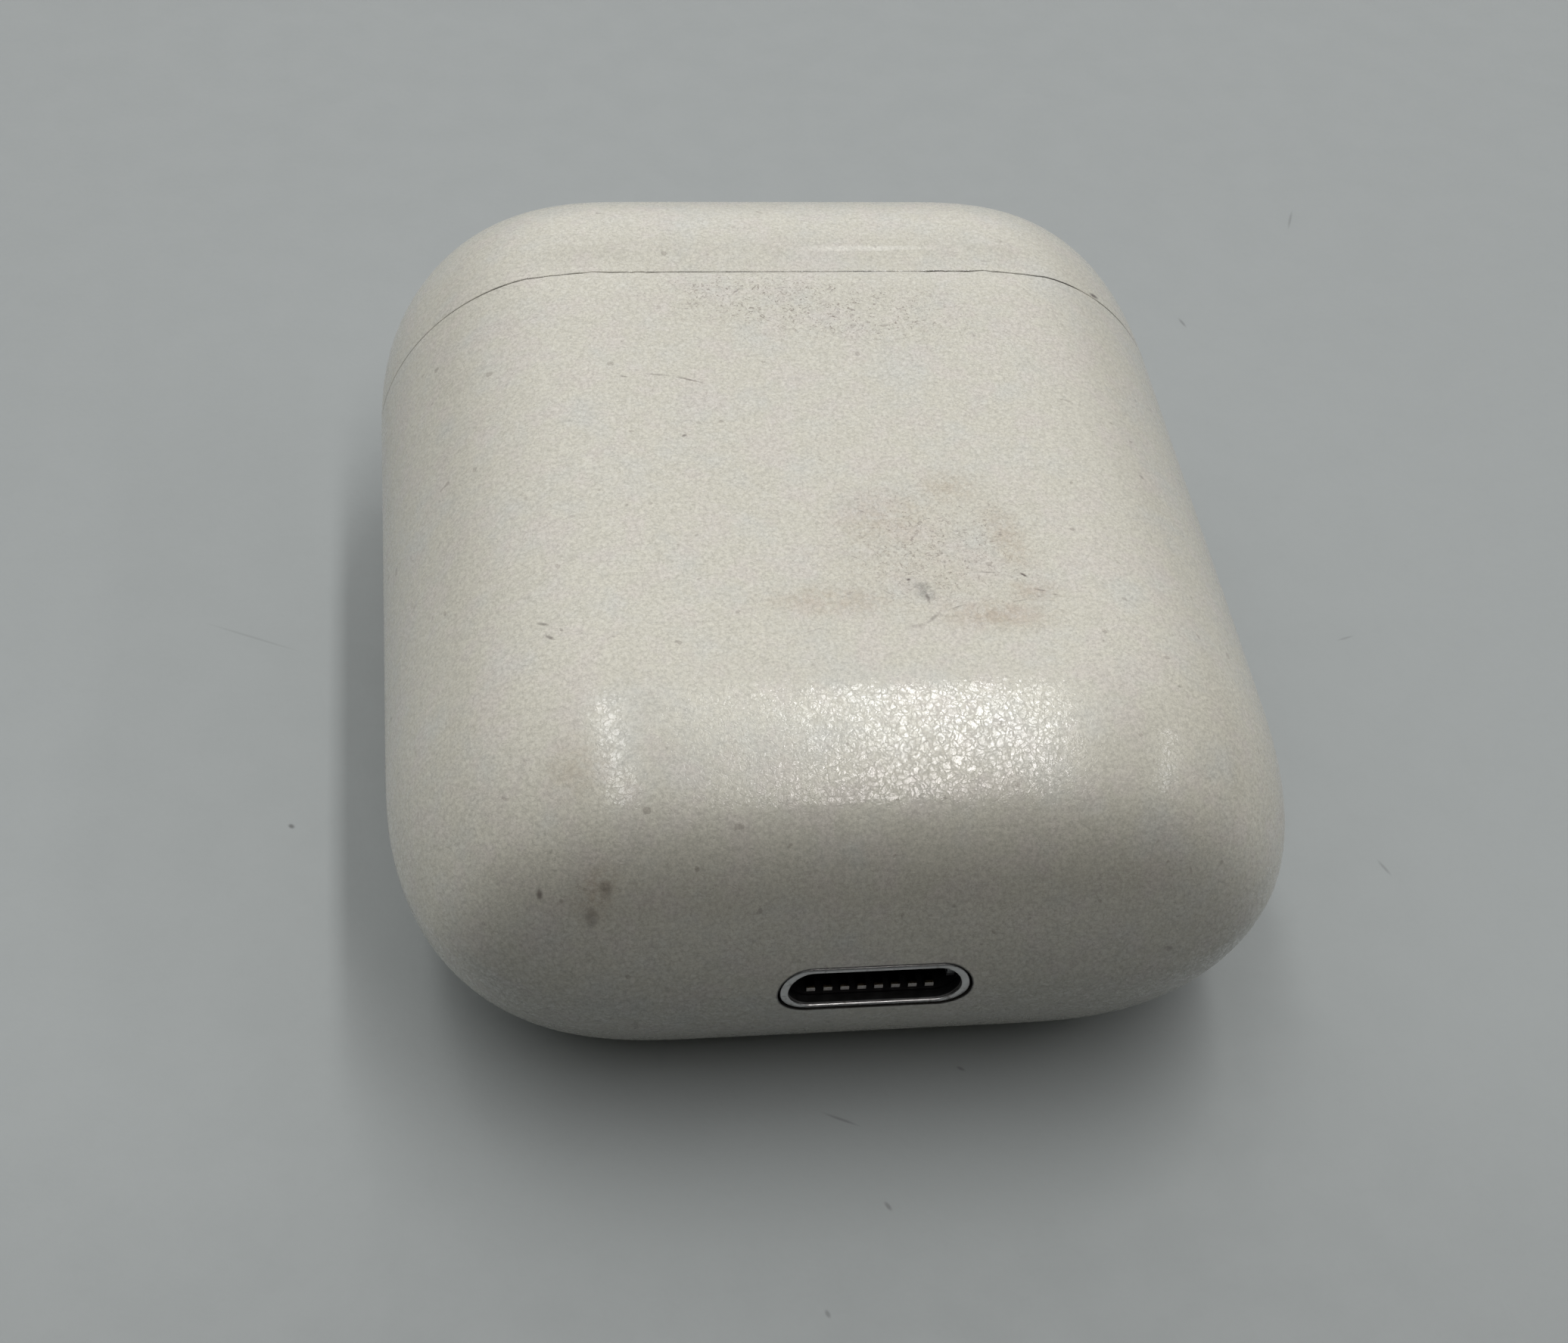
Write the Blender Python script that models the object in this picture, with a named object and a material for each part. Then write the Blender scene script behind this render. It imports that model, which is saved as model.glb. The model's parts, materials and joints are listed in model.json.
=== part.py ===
"""Wireless earbuds case: a pebble-shaped charging case with a hinged lid.

Metres, +Z up. The case lies on its back: +X across, +Y from the charging port to the lid, +Z out of
the front face. The origin is on the back face, under the middle of the case. Sizes below are in
millimetres, and the helpers turn them into metres.
"""
import math

import bmesh
import bpy
from mathutils import Matrix, Vector

MM = 0.001

# Driving dimensions of the case
WIDTH = 44.3
LENGTH = 53.5
THICKNESS = 21.3
LID_CORNER = 14.4        # corner radius of the outline at the lid end
PORT_CORNER = 14.6       # corner radius of the outline at the port end
CORNER_POWER = 2.86      # superellipse power of the outline's corners
EDGE_DEPTH_X = 12.7      # how far the rounded edge reaches in from the long sides
EDGE_DEPTH_Y = 11.0      # how far the rounded edge reaches in from the two ends
EDGE_POWER_Z = 1.66      # superellipse powers of the rounded edge
EDGE_POWER_IN = 2.42
SEAM_Y = 13.5            # plane between the body and the lid
SEAM_GAP = 0.1
WALL = 1.3
FIT_GAP = 0.15           # between the shells and the mouldings glued into them
CORNER_STEPS = 12        # points along each corner of the outline
EDGE_RINGS = 8           # rings from the widest section to each flat face

# Finger scoop on the front of the seam
SCOOP_WIDTH = 27.0
SCOOP_DEPTH = 0.25
SCOOP_RADIUS = 14.0
SCOOP_Y = SEAM_Y + 1.0

# Wells in the cradle and cups in the lid
WELL_X = 10.4
WELL_RADIUS = 7.2
WELL_DEPTH = 8.5
WELL_WALL = 0.8
STEM_X = 10.9
STEM_BORE = 3.5
STEM_END_Y = -20.3
DECK = 1.2               # thickness of the cradle's deck and of the lid liner's plate
DECK_DROP = 0.2          # deck and liner plate stand back from the seam plane

# Hinge
HINGE_Z = 0.5
KNUCKLE_RADIUS = 0.45
PIN_RADIUS = 0.24
PIN_BORE = 0.3
HINGE_WIDTH = 14.0
KNUCKLES = 5
KNUCKLE_GAP = 0.12
LEAF = 0.4               # thickness of both leaves
LEAF_START = 0.55        # from the axis to the plate of each leaf
PLATE_REACH = 2.3        # from the axis to the far edge of the body's hinge plate
LEAF_REACH = 2.1         # from the axis to the far edge of the lid's hinge leaf
CAM_LENGTH = 1.5
CAM_ANGLE = 130.0        # degrees up from +Y, with the lid closed
RELIEF_REACH = 0.68      # body wall stands back from the axis so that the lid's edge can swing

# Setup button on the back
BUTTON_Y = 1.0
BUTTON_RADIUS = 2.5
BUTTON_GAP = 0.1
BUTTON_RECESS = 0.12

# Charging port, at the middle of the port end
PORT_WIDTH = 8.1
PORT_HEIGHT = 2.4
RING_WIDTH = 8.9
RING_HEIGHT = 2.9
RING_GAP = 0.1           # between the trim ring and the hole in the shell
RING_FACE_Y = -26.5
RING_LENGTH = 0.5
PORT_DEPTH = 6.3         # cavity behind the trim ring
NECK_LENGTH = 1.0        # part of the port's housing that stands in the hole in the shell
PORT_CONTACTS = 8
PORT_PITCH = 0.8

# Contact pins in the wells
PIN_SPACING = 3.0
WELL_PIN_RADIUS = 0.45

HALF_X = WIDTH / 2
HALF_Y = LENGTH / 2
HALF_Z = THICKNESS / 2
MID_Z = HALF_Z
SIDES = (("left", -1), ("right", 1))


# Scene and helpers

def clear_scene():
    for obj in list(bpy.data.objects):
        bpy.data.objects.remove(obj, do_unlink=True)


def new_collection(name):
    collection = bpy.data.collections.new(name)
    bpy.context.scene.collection.children.link(collection)
    return collection


def principled(name, colour, roughness, metallic=0.0):
    material = bpy.data.materials.new(name)
    material.use_nodes = True
    shader = material.node_tree.nodes["Principled BSDF"]
    shader.inputs["Base Color"].default_value = (*colour, 1.0)
    shader.inputs["Roughness"].default_value = roughness
    shader.inputs["Metallic"].default_value = metallic
    return material


clear_scene()
CASE = new_collection("wireless_earbuds_case")
CUTTERS = new_collection("cutters")

WHITE_GLOSS = principled("white_gloss_plastic", (0.78, 0.77, 0.73), 0.25)
WHITE_SATIN = principled("white_satin_plastic", (0.80, 0.79, 0.76), 0.4)
STEEL = principled("brushed_steel", (0.62, 0.62, 0.63), 0.3, 1.0)
ALUMINIUM = principled("port_trim", (0.55, 0.55, 0.56), 0.35, 1.0)
BLACK = principled("black_plastic", (0.02, 0.02, 0.022), 0.45)
GOLD = principled("gold_contacts", (0.85, 0.66, 0.32), 0.25, 1.0)
MAGNET = principled("magnets", (0.45, 0.45, 0.46), 0.3, 1.0)
BOARD = principled("circuit_board", (0.02, 0.09, 0.05), 0.5)
FLEX = principled("flex_circuit", (0.35, 0.16, 0.04), 0.45)
CELL = principled("battery_wrap", (0.10, 0.10, 0.11), 0.5)
LENS = principled("light_lens", (0.85, 0.85, 0.82), 0.2)


def piece(name, mesh_build, material=None, centre=(0, 0, 0), parent=None):
    """Makes one object from a bmesh. With no material it is a cutter."""
    mesh = bpy.data.meshes.new(name)
    bmesh.ops.recalc_face_normals(mesh_build, faces=mesh_build.faces)
    mesh_build.to_mesh(mesh)
    mesh_build.free()
    obj = bpy.data.objects.new(name, mesh)
    obj.location = Vector(centre) * MM
    if parent:
        obj.parent = parent
        obj.location -= parent.location
    if material:
        mesh.materials.append(material)
        mesh.shade_smooth()
        mesh.set_sharp_from_angle(angle=math.radians(35))
        CASE.objects.link(obj)
    else:
        obj.hide_render = True
        obj.display_type = "WIRE"
        CUTTERS.objects.link(obj)
    return obj


def axis_empty(name, point):
    """Marks a joint's axis or a slide's start, and carries what moves with it."""
    empty = bpy.data.objects.new(name, None)
    empty.location = Vector(point) * MM
    empty.empty_display_size = 3 * MM
    CASE.objects.link(empty)
    return empty


def boolean(obj, other, operation="DIFFERENCE"):
    modifier = obj.modifiers.new(other.name, "BOOLEAN")
    modifier.operation = operation
    modifier.object = other


def box(name, low, high, material=None, bevel=0.0, parent=None):
    low, high = Vector(low), Vector(high)
    build = bmesh.new()
    bmesh.ops.create_cube(build, size=MM)
    bmesh.ops.scale(build, vec=high - low, verts=build.verts)
    if bevel:
        bmesh.ops.bevel(build, geom=list(build.edges), offset=bevel * MM, segments=2, profile=0.5,
                        affect="EDGES")
    return piece(name, build, material, (low + high) / 2, parent)


def stadium(name, centre, width, height, length, material=None, parent=None):
    """A flat-sided bar with half-round ends, along Y."""
    build = bmesh.new()
    bmesh.ops.create_cube(build, size=MM)
    bmesh.ops.scale(build, vec=(width, length, height), verts=build.verts)
    long_edges = [edge for edge in build.edges
                  if abs(edge.verts[0].co.y - edge.verts[1].co.y) > length * MM / 2]
    bmesh.ops.bevel(build, geom=long_edges, offset=height * MM * 0.499, segments=6, profile=0.5,
                    affect="EDGES")
    return piece(name, build, material, centre, parent)


def rod(name, centre, radius, length, axis, material=None, bevel=0.0, parent=None, sides=24):
    build = bmesh.new()
    bmesh.ops.create_cone(build, cap_ends=True, segments=sides, radius1=radius * MM,
                          radius2=radius * MM, depth=length * MM)
    if bevel:
        rims = [edge for edge in build.edges
                if abs(edge.verts[0].co.z - edge.verts[1].co.z) < 1e-9]
        bmesh.ops.bevel(build, geom=rims, offset=bevel * MM, segments=2, profile=0.5, affect="EDGES")
    turn = {"X": Matrix.Rotation(math.pi / 2, 3, "Y"),
            "Y": Matrix.Rotation(math.pi / 2, 3, "X"),
            "Z": Matrix.Identity(3)}[axis]
    bmesh.ops.rotate(build, cent=(0, 0, 0), matrix=turn, verts=build.verts)
    return piece(name, build, material, centre, parent)


def ellipsoid(name, centre, radii, material=None, parent=None):
    build = bmesh.new()
    bmesh.ops.create_uvsphere(build, u_segments=24, v_segments=12, radius=MM)
    bmesh.ops.rotate(build, cent=(0, 0, 0), matrix=Matrix.Rotation(math.pi / 2, 3, "X"),
                     verts=build.verts)
    bmesh.ops.scale(build, vec=radii, verts=build.verts)
    return piece(name, build, material, centre, parent)


def outline_point(turn, inset_x, inset_y):
    """A point of the outline, drawn in from the long sides and from the ends."""
    half_step = math.pi / (4 * CORNER_STEPS)
    quadrant = int(turn // (math.pi / 2)) % 4
    side_x = 1 if quadrant in (0, 3) else -1
    side_y = 1 if quadrant in (0, 1) else -1
    along = turn % (math.pi / 2)
    if quadrant in (1, 3):
        along = math.pi / 2 - along
    angle = (along - half_step) / (math.pi / 2 - 2 * half_step) * math.pi / 2
    angle = min(max(angle, 0.0), math.pi / 2)
    radius = LID_CORNER if side_y > 0 else PORT_CORNER
    rounding = radius - inset_x
    x = HALF_X - radius + rounding * math.cos(angle) ** (2 / CORNER_POWER)
    y = HALF_Y - radius + inset_x - inset_y + rounding * math.sin(angle) ** (2 / CORNER_POWER)
    return side_x * x, side_y * y


def pebble(name, inset, material=None, parent=None):
    """The case's rounded form, or the same form set in from it by an even wall."""
    build = bmesh.new()
    rings = 2 * (EDGE_RINGS + 1)
    bmesh.ops.create_uvsphere(build, u_segments=4 * CORNER_STEPS, v_segments=rings, radius=1.0)
    half_step = math.pi / (4 * CORNER_STEPS)
    steepest = math.pi / 2 - math.pi / rings
    for vert in build.verts:
        latitude = math.asin(max(-1.0, min(1.0, vert.co.z)))
        if abs(latitude) > steepest + 1e-4:
            vert.co = Vector((0, 0, math.copysign(HALF_Z - inset, latitude))) * MM
            continue
        turn = (math.atan2(vert.co.y, vert.co.x) + half_step) % (2 * math.pi)
        roll = min(abs(latitude) / steepest, 1.0) * math.pi / 2
        height = (HALF_Z - inset) * math.sin(roll) ** (2 / EDGE_POWER_Z)
        share = 1 - max(math.cos(roll), 0.0) ** (2 / EDGE_POWER_IN)
        x, y = outline_point(turn, inset + (EDGE_DEPTH_X - inset) * share,
                             inset + (EDGE_DEPTH_Y - inset) * share)
        vert.co = Vector((x, y, math.copysign(height, latitude))) * MM
    return piece(name, build, material, (0, 0, MID_Z), parent)


# Shells

LID_AXIS = axis_empty("lid_hinge_axis", (0, SEAM_Y, HINGE_Z))
FAR = 40.0               # larger than the case, for cutters that take away a whole side


def hinge_cutout(name, low_y, high_y, parent=None):
    half = HINGE_WIDTH / 2 + FIT_GAP
    return box(name, (-half, low_y, -1), (half, high_y, WALL + 0.3), parent=parent)


def scoop(name, parent=None):
    centre_z = THICKNESS + SCOOP_RADIUS - SCOOP_DEPTH
    return rod(name, (0, SCOOP_Y, centre_z), SCOOP_RADIUS, SCOOP_WIDTH, "X", sides=96, parent=parent)


def make_body_shell():
    shell = pebble("body_shell", 0.0, WHITE_GLOSS)
    boolean(shell, pebble("body_cavity", WALL))
    boolean(shell, box("lid_side", (-FAR, SEAM_Y - SEAM_GAP / 2, -FAR), (FAR, FAR, FAR)))
    boolean(shell, stadium("port_hole", (0, -HALF_Y, MID_Z), RING_WIDTH + 2 * RING_GAP,
                           RING_HEIGHT + 2 * RING_GAP, 6.0))
    boolean(shell, rod("button_hole", (0, BUTTON_Y, 0.5), BUTTON_RADIUS + BUTTON_GAP, 4.0, "Z",
                       sides=32))
    boolean(shell, hinge_cutout("body_hinge_cutout", SEAM_Y - PLATE_REACH - FIT_GAP, SEAM_Y + 1))
    boolean(shell, box("lid_swing_relief", (-15, SEAM_Y - RELIEF_REACH, -1),
                       (15, SEAM_Y + 1, HINGE_Z + 0.1)))
    boolean(shell, scoop("body_scoop"))


def make_lid_shell():
    shell = pebble("lid_shell", 0.0, WHITE_GLOSS, LID_AXIS)
    boolean(shell, pebble("lid_cavity", WALL, parent=LID_AXIS))
    boolean(shell, box("body_side", (-FAR, -FAR, -FAR), (FAR, SEAM_Y + SEAM_GAP / 2, FAR),
                       parent=LID_AXIS))
    boolean(shell, hinge_cutout("lid_hinge_cutout", SEAM_Y - 1, SEAM_Y + LEAF_REACH + FIT_GAP,
                                LID_AXIS))
    boolean(shell, scoop("lid_scoop", LID_AXIS))


# Cradle in the body and liner in the lid

def hollow_pair(moulding, name, radii, operation, parent=None):
    for side, sign in SIDES:
        hollow = ellipsoid(f"{name}_{side}", (sign * WELL_X, SEAM_Y, MID_Z), radii, parent=parent)
        boolean(moulding, hollow, operation)


def make_cradle():
    top = SEAM_Y - DECK_DROP
    cradle = pebble("cradle", WALL + FIT_GAP, WHITE_SATIN)
    boolean(cradle, box("deck_slab", (-FAR, top - DECK, -FAR), (FAR, top, FAR)), "INTERSECT")
    outer = (WELL_RADIUS + WELL_WALL, WELL_DEPTH + WELL_WALL, WELL_RADIUS + WELL_WALL)
    hollow_pair(cradle, "bowl", outer, "UNION")
    for side, sign in SIDES:
        tube_top = SEAM_Y - WELL_DEPTH + 1.2
        middle = (sign * STEM_X, (STEM_END_Y + tube_top) / 2, MID_Z)
        boolean(cradle, rod(f"stem_tube_{side}", middle, STEM_BORE + WELL_WALL,
                            tube_top - STEM_END_Y, "Y"), "UNION")
    boolean(cradle, box("above_deck", (-FAR, top, -FAR), (FAR, FAR, FAR)))
    hollow_pair(cradle, "well", (WELL_RADIUS, WELL_DEPTH, WELL_RADIUS), "DIFFERENCE")
    for side, sign in SIDES:
        bore_top = SEAM_Y - WELL_DEPTH + 2.0
        bore_end = STEM_END_Y - 1.0
        middle = (sign * STEM_X, (bore_end + bore_top) / 2, MID_Z)
        boolean(cradle, rod(f"stem_bore_{side}", middle, STEM_BORE, bore_top - bore_end, "Y"))
    half = HINGE_WIDTH / 2 + 0.6
    boolean(cradle, box("hinge_pocket", (-half, SEAM_Y - 4.2, -1), (half, SEAM_Y + 1, 3.2)))
    boolean(cradle, rod("lens_hole", (0, top, MID_Z), 0.9, 6.0, "Y"))


def make_lid_liner():
    face = SEAM_Y + DECK_DROP
    liner = pebble("lid_liner", WALL + FIT_GAP, WHITE_SATIN, LID_AXIS)
    boolean(liner, box("liner_slab", (-FAR, face, -FAR), (FAR, face + DECK, FAR), parent=LID_AXIS),
            "INTERSECT")
    outer = (WELL_RADIUS + WELL_WALL, WELL_DEPTH + WELL_WALL, WELL_RADIUS + WELL_WALL)
    hollow_pair(liner, "cup", outer, "UNION", LID_AXIS)
    boolean(liner, box("below_liner", (-FAR, -FAR, -FAR), (FAR, face, FAR), parent=LID_AXIS))
    hollow_pair(liner, "cup_hollow", (WELL_RADIUS, WELL_DEPTH, WELL_RADIUS), "DIFFERENCE", LID_AXIS)


# Hinge

def knuckle_span(index):
    pitch = HINGE_WIDTH / KNUCKLES
    middle = -HINGE_WIDTH / 2 + pitch * (index + 0.5)
    return middle, pitch - KNUCKLE_GAP


def add_knuckles(leaf, name, indexes, side, parent=None):
    """Joins barrels to a leaf, with a web from the leaf to each, then bores them all."""
    for index in indexes:
        middle, length = knuckle_span(index)
        near = min(side * (LEAF_START + 0.2), 0.0)
        far = max(side * (LEAF_START + 0.2), 0.0)
        half_length = length / 2 - 0.02
        half_leaf = LEAF / 2 - 0.02
        web = box(f"{name}_web_{index}", (middle - half_length, SEAM_Y + near, HINGE_Z - half_leaf),
                  (middle + half_length, SEAM_Y + far, HINGE_Z + half_leaf), parent=parent)
        boolean(leaf, web, "UNION")
        barrel = rod(f"{name}_barrel_{index}", (middle, SEAM_Y, HINGE_Z), KNUCKLE_RADIUS, length, "X",
                     parent=parent, sides=16)
        boolean(leaf, barrel, "UNION")


def bore_knuckles(leaf, name, parent=None):
    boolean(leaf, rod(f"{name}_bore", (0, SEAM_Y, HINGE_Z), PIN_BORE, HINGE_WIDTH + 2, "X",
                      parent=parent, sides=16))


def make_hinge():
    half = HINGE_WIDTH / 2
    plate = box("hinge_plate", (-half, SEAM_Y - PLATE_REACH, HINGE_Z - LEAF / 2),
                (half, SEAM_Y - LEAF_START, HINGE_Z + LEAF / 2), STEEL)
    boolean(plate, box("plate_flange", (-half + 1, SEAM_Y - PLATE_REACH + 0.02, HINGE_Z),
                       (half - 1, SEAM_Y - PLATE_REACH + 0.42, HINGE_Z + 1.5)), "UNION")
    add_knuckles(plate, "plate", range(0, KNUCKLES, 2), -1)
    bore_knuckles(plate, "plate")

    leaf = box("lid_hinge_leaf", (-half, SEAM_Y + LEAF_START, HINGE_Z - LEAF / 2),
               (half, SEAM_Y + LEAF_REACH, HINGE_Z + LEAF / 2), STEEL, parent=LID_AXIS)
    boolean(leaf, box("leaf_flange", (-half + 0.6, SEAM_Y + LEAF_REACH - 0.42, HINGE_Z),
                      (half - 0.6, SEAM_Y + LEAF_REACH - 0.02, HINGE_Z + 2.4), parent=LID_AXIS), "UNION")
    add_knuckles(leaf, "leaf", range(1, KNUCKLES, 2), 1, LID_AXIS)
    for index in range(1, KNUCKLES, 2):
        middle, length = knuckle_span(index)
        cam = box(f"cam_{index}", (middle - length / 2 + 0.3, SEAM_Y, HINGE_Z - 0.22),
                  (middle + length / 2 - 0.3, SEAM_Y + CAM_LENGTH, HINGE_Z + 0.22), parent=LID_AXIS)
        turn = Matrix.Rotation(math.radians(CAM_ANGLE), 4, "X")
        cam.data.transform(Matrix.Translation((0, CAM_LENGTH / 2 * MM, 0)))
        cam.data.transform(turn)
        cam.location.y -= CAM_LENGTH / 2 * MM
        boolean(leaf, cam, "UNION")
    bore_knuckles(leaf, "leaf", LID_AXIS)

    rod("hinge_pin", (0, SEAM_Y, HINGE_Z), PIN_RADIUS, HINGE_WIDTH - 0.4, "X", STEEL, bevel=0.04,
        sides=16)
    box("detent_spring", (-5, SEAM_Y - 3.4, HINGE_Z + CAM_LENGTH + 0.25),
        (5, SEAM_Y - 0.15, HINGE_Z + CAM_LENGTH + 0.4), STEEL)


# Setup button, main board and battery

BOARD_LOW_Z = 3.2
BOARD_THICKNESS = 0.8
BOARD_TOP_Z = BOARD_LOW_Z + BOARD_THICKNESS


def make_setup_button():
    start = axis_empty("setup_button_slide", (0, BUTTON_Y, BUTTON_RECESS))
    cap_length = WALL + 0.15 - BUTTON_RECESS
    cap = rod("setup_button", (0, BUTTON_Y, BUTTON_RECESS + cap_length / 2), BUTTON_RADIUS,
              cap_length, "Z", WHITE_GLOSS, bevel=0.12, parent=start, sides=32)
    flange = rod("button_flange", (0, BUTTON_Y, WALL + 0.35), BUTTON_RADIUS + 0.7, 0.5, "Z",
                 parent=start, sides=32)
    boolean(cap, flange, "UNION")
    boolean(cap, rod("button_post", (0, BUTTON_Y, WALL + 0.7), 0.8, 0.6, "Z", parent=start), "UNION")
    rod("switch_dome", (0, BUTTON_Y, BOARD_LOW_Z - 0.25), 2.0, 0.4, "Z", STEEL, bevel=0.15)


def make_board():
    box("main_board", (-6.2, -14, BOARD_LOW_Z), (6.2, 8, BOARD_TOP_Z), BOARD)
    chip_low = BOARD_TOP_Z + 0.05
    chips = (("charger_chip", -3.0, -9.5, 3.2, 1.0),
             ("controller_chip", 2.6, -8.5, 4.0, 0.9),
             ("power_chip", -2.8, -3.5, 2.6, 0.8),
             ("port_chip", 2.8, -2.6, 2.2, 0.7))
    for name, x, y, size, height in chips:
        box(name, (x - size / 2, y - size / 2, chip_low), (x + size / 2, y + size / 2, chip_low + height),
            BLACK)


def make_battery():
    box("battery", (-6.1, -17.2, 7.2), (6.1, 3.3, 19.0), CELL, bevel=0.8)
    lead = box("battery_lead", (-5.0, 3.6, BOARD_TOP_Z + 0.3), (-3.0, 3.75, 12.0), FLEX)
    boolean(lead, box("battery_lead_foot", (-5.0 + 0.01, 3.0, BOARD_TOP_Z + 0.3 + 0.01),
                      (-3.0 - 0.01, 3.7, BOARD_TOP_Z + 0.45)), "UNION")


# Status light and lid sensing, between the wells

def make_status_light():
    top = SEAM_Y - DECK_DROP
    rod("status_light_lens", (0, top - 0.75, MID_Z), 0.8, 1.4, "Y", LENS, bevel=0.1)
    box("status_led", (-0.8, 10.85, MID_Z - 0.8), (0.8, 11.45, MID_Z + 0.8), LENS)
    box("light_board", (-2.2, 10.4, 7.5), (2.2, 10.8, 14.0), BOARD)
    box("lid_sensor", (-0.7, 10.85, 12.2), (0.7, 11.45, 13.6), BLACK)
    foot_low = BOARD_TOP_Z + 0.3
    flex = box("light_flex", (-1.0, 9.9, foot_low), (1.0, 10.1, 10.3), FLEX)
    boolean(flex, box("light_flex_foot", (-0.99, 6.5, foot_low + 0.01), (0.99, 10.0, foot_low + 0.16)),
            "UNION")


def make_magnets():
    box("body_catch_magnet", (-2.2, 9.6, 15.2), (2.2, 11.6, 18.2), MAGNET, bevel=0.2)
    box("lid_catch_magnet", (-2.2, 15.0, 15.2), (2.2, 17.0, 18.2), MAGNET, bevel=0.2, parent=LID_AXIS)
    box("lid_sensor_magnet", (-1.0, 15.0, 11.8), (1.0, 16.4, 13.8), MAGNET, bevel=0.1, parent=LID_AXIS)
    for side, sign in SIDES:
        inner, outer = sorted((sign * 16.4, sign * 18.0))
        box(f"{side}_well_magnet", (inner, 2.5, MID_Z - 3), (outer, 7.5, MID_Z + 3), MAGNET, bevel=0.2)


# Contact blocks that close the wells' lower ends, with sprung pins

BLOCK_TOP_Y = STEM_END_Y + 1.9
BLOCK_END_Y = STEM_END_Y - 1.5
WELL_PIN_TOP_Y = BLOCK_TOP_Y + 0.7
WELL_PIN_END_Y = BLOCK_END_Y + 0.4


def make_well_contacts():
    for side, sign in SIDES:
        middle_x = sign * STEM_X
        plug_length = BLOCK_TOP_Y - STEM_END_Y + 0.4
        block = rod(f"{side}_contact_block", (middle_x, BLOCK_TOP_Y - plug_length / 2, MID_Z),
                    STEM_BORE - 0.1, plug_length, "Y", BLACK)
        flange_length = STEM_END_Y - 0.1 - BLOCK_END_Y
        flange = rod(f"{side}_block_flange", (middle_x, BLOCK_END_Y + flange_length / 2, MID_Z),
                     STEM_BORE + WELL_WALL, flange_length, "Y")
        boolean(block, flange, "UNION")
        for place, offset in (("inner", -sign), ("outer", sign)):
            x = middle_x + offset * PIN_SPACING / 2
            boolean(block, rod(f"{side}_{place}_pin_bore", (x, STEM_END_Y, MID_Z),
                               WELL_PIN_RADIUS + 0.08, 10.0, "Y", sides=16))
            start = axis_empty(f"{side}_{place}_pin_slide", (x, WELL_PIN_TOP_Y, MID_Z))
            length = WELL_PIN_TOP_Y - WELL_PIN_END_Y
            rod(f"{side}_{place}_contact_pin", (x, WELL_PIN_TOP_Y - length / 2, MID_Z),
                WELL_PIN_RADIUS, length, "Y", GOLD, bevel=0.15, parent=start, sides=16)
    box("contact_flex", (-13.0, BLOCK_END_Y - 1.2, 5.6), (13.0, BLOCK_END_Y - 1.0, 8.0), FLEX)


# Charging port

def make_port():
    ring = stadium("port_trim_ring", (0, RING_FACE_Y + RING_LENGTH / 2, MID_Z), RING_WIDTH, RING_HEIGHT,
                   RING_LENGTH, ALUMINIUM)
    boolean(ring, stadium("ring_hole", (0, RING_FACE_Y, MID_Z), PORT_WIDTH, PORT_HEIGHT, 8.0))

    front = RING_FACE_Y + RING_LENGTH + 0.1
    back = front + PORT_DEPTH + 1.0
    block_front = front + NECK_LENGTH
    half_width = RING_WIDTH / 2 + 0.4
    half_height = RING_HEIGHT / 2 + 0.6
    housing = box("port_housing", (-half_width, block_front, MID_Z - half_height),
                  (half_width, back, MID_Z + half_height), BLACK, bevel=0.3)
    boolean(housing, stadium("port_neck", (0, block_front, MID_Z), RING_WIDTH, RING_HEIGHT,
                             2 * NECK_LENGTH), "UNION")
    boolean(housing, stadium("port_cavity", (0, front, MID_Z), PORT_WIDTH, PORT_HEIGHT, 2 * PORT_DEPTH))

    floor_z = MID_Z - PORT_HEIGHT / 2
    for number in range(PORT_CONTACTS):
        x = (number - (PORT_CONTACTS - 1) / 2) * PORT_PITCH
        box(f"port_contact_{number + 1}", (x - 0.2, front + 0.1, floor_z + 0.05),
            (x + 0.2, front + PORT_DEPTH - 0.2, floor_z + 0.25), GOLD)
    for side, sign in SIDES:
        near, far = sorted((sign * (PORT_WIDTH / 2 - 0.5), sign * (PORT_WIDTH / 2 - 0.15)))
        box(f"port_latch_{side}", (near, front + 0.15, MID_Z - 0.45), (far, front + 3.4, MID_Z + 0.45),
            STEEL)

    flex = box("port_flex", (-2.5, back + 0.1, BOARD_TOP_Z + 0.4), (2.5, back + 0.25, MID_Z), FLEX)
    boolean(flex, box("port_flex_foot", (-2.49, back + 0.2, BOARD_TOP_Z + 0.41),
                      (2.49, -12.8, BOARD_TOP_Z + 0.55)), "UNION")


make_body_shell()
make_lid_shell()
make_cradle()
make_lid_liner()
make_hinge()
make_setup_button()
make_board()
make_battery()
make_status_light()
make_magnets()
make_well_contacts()
make_port()
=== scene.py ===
"""Looks of the wireless earbuds case: fine shells, worn glossy plastic, floor, light and camera.

Metres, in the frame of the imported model: +X across the case, +Y towards the lid, +Z out of the front.
"""
import json
import math

import bmesh
import bpy
import numpy as np
from mathutils import Matrix, Vector

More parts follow.
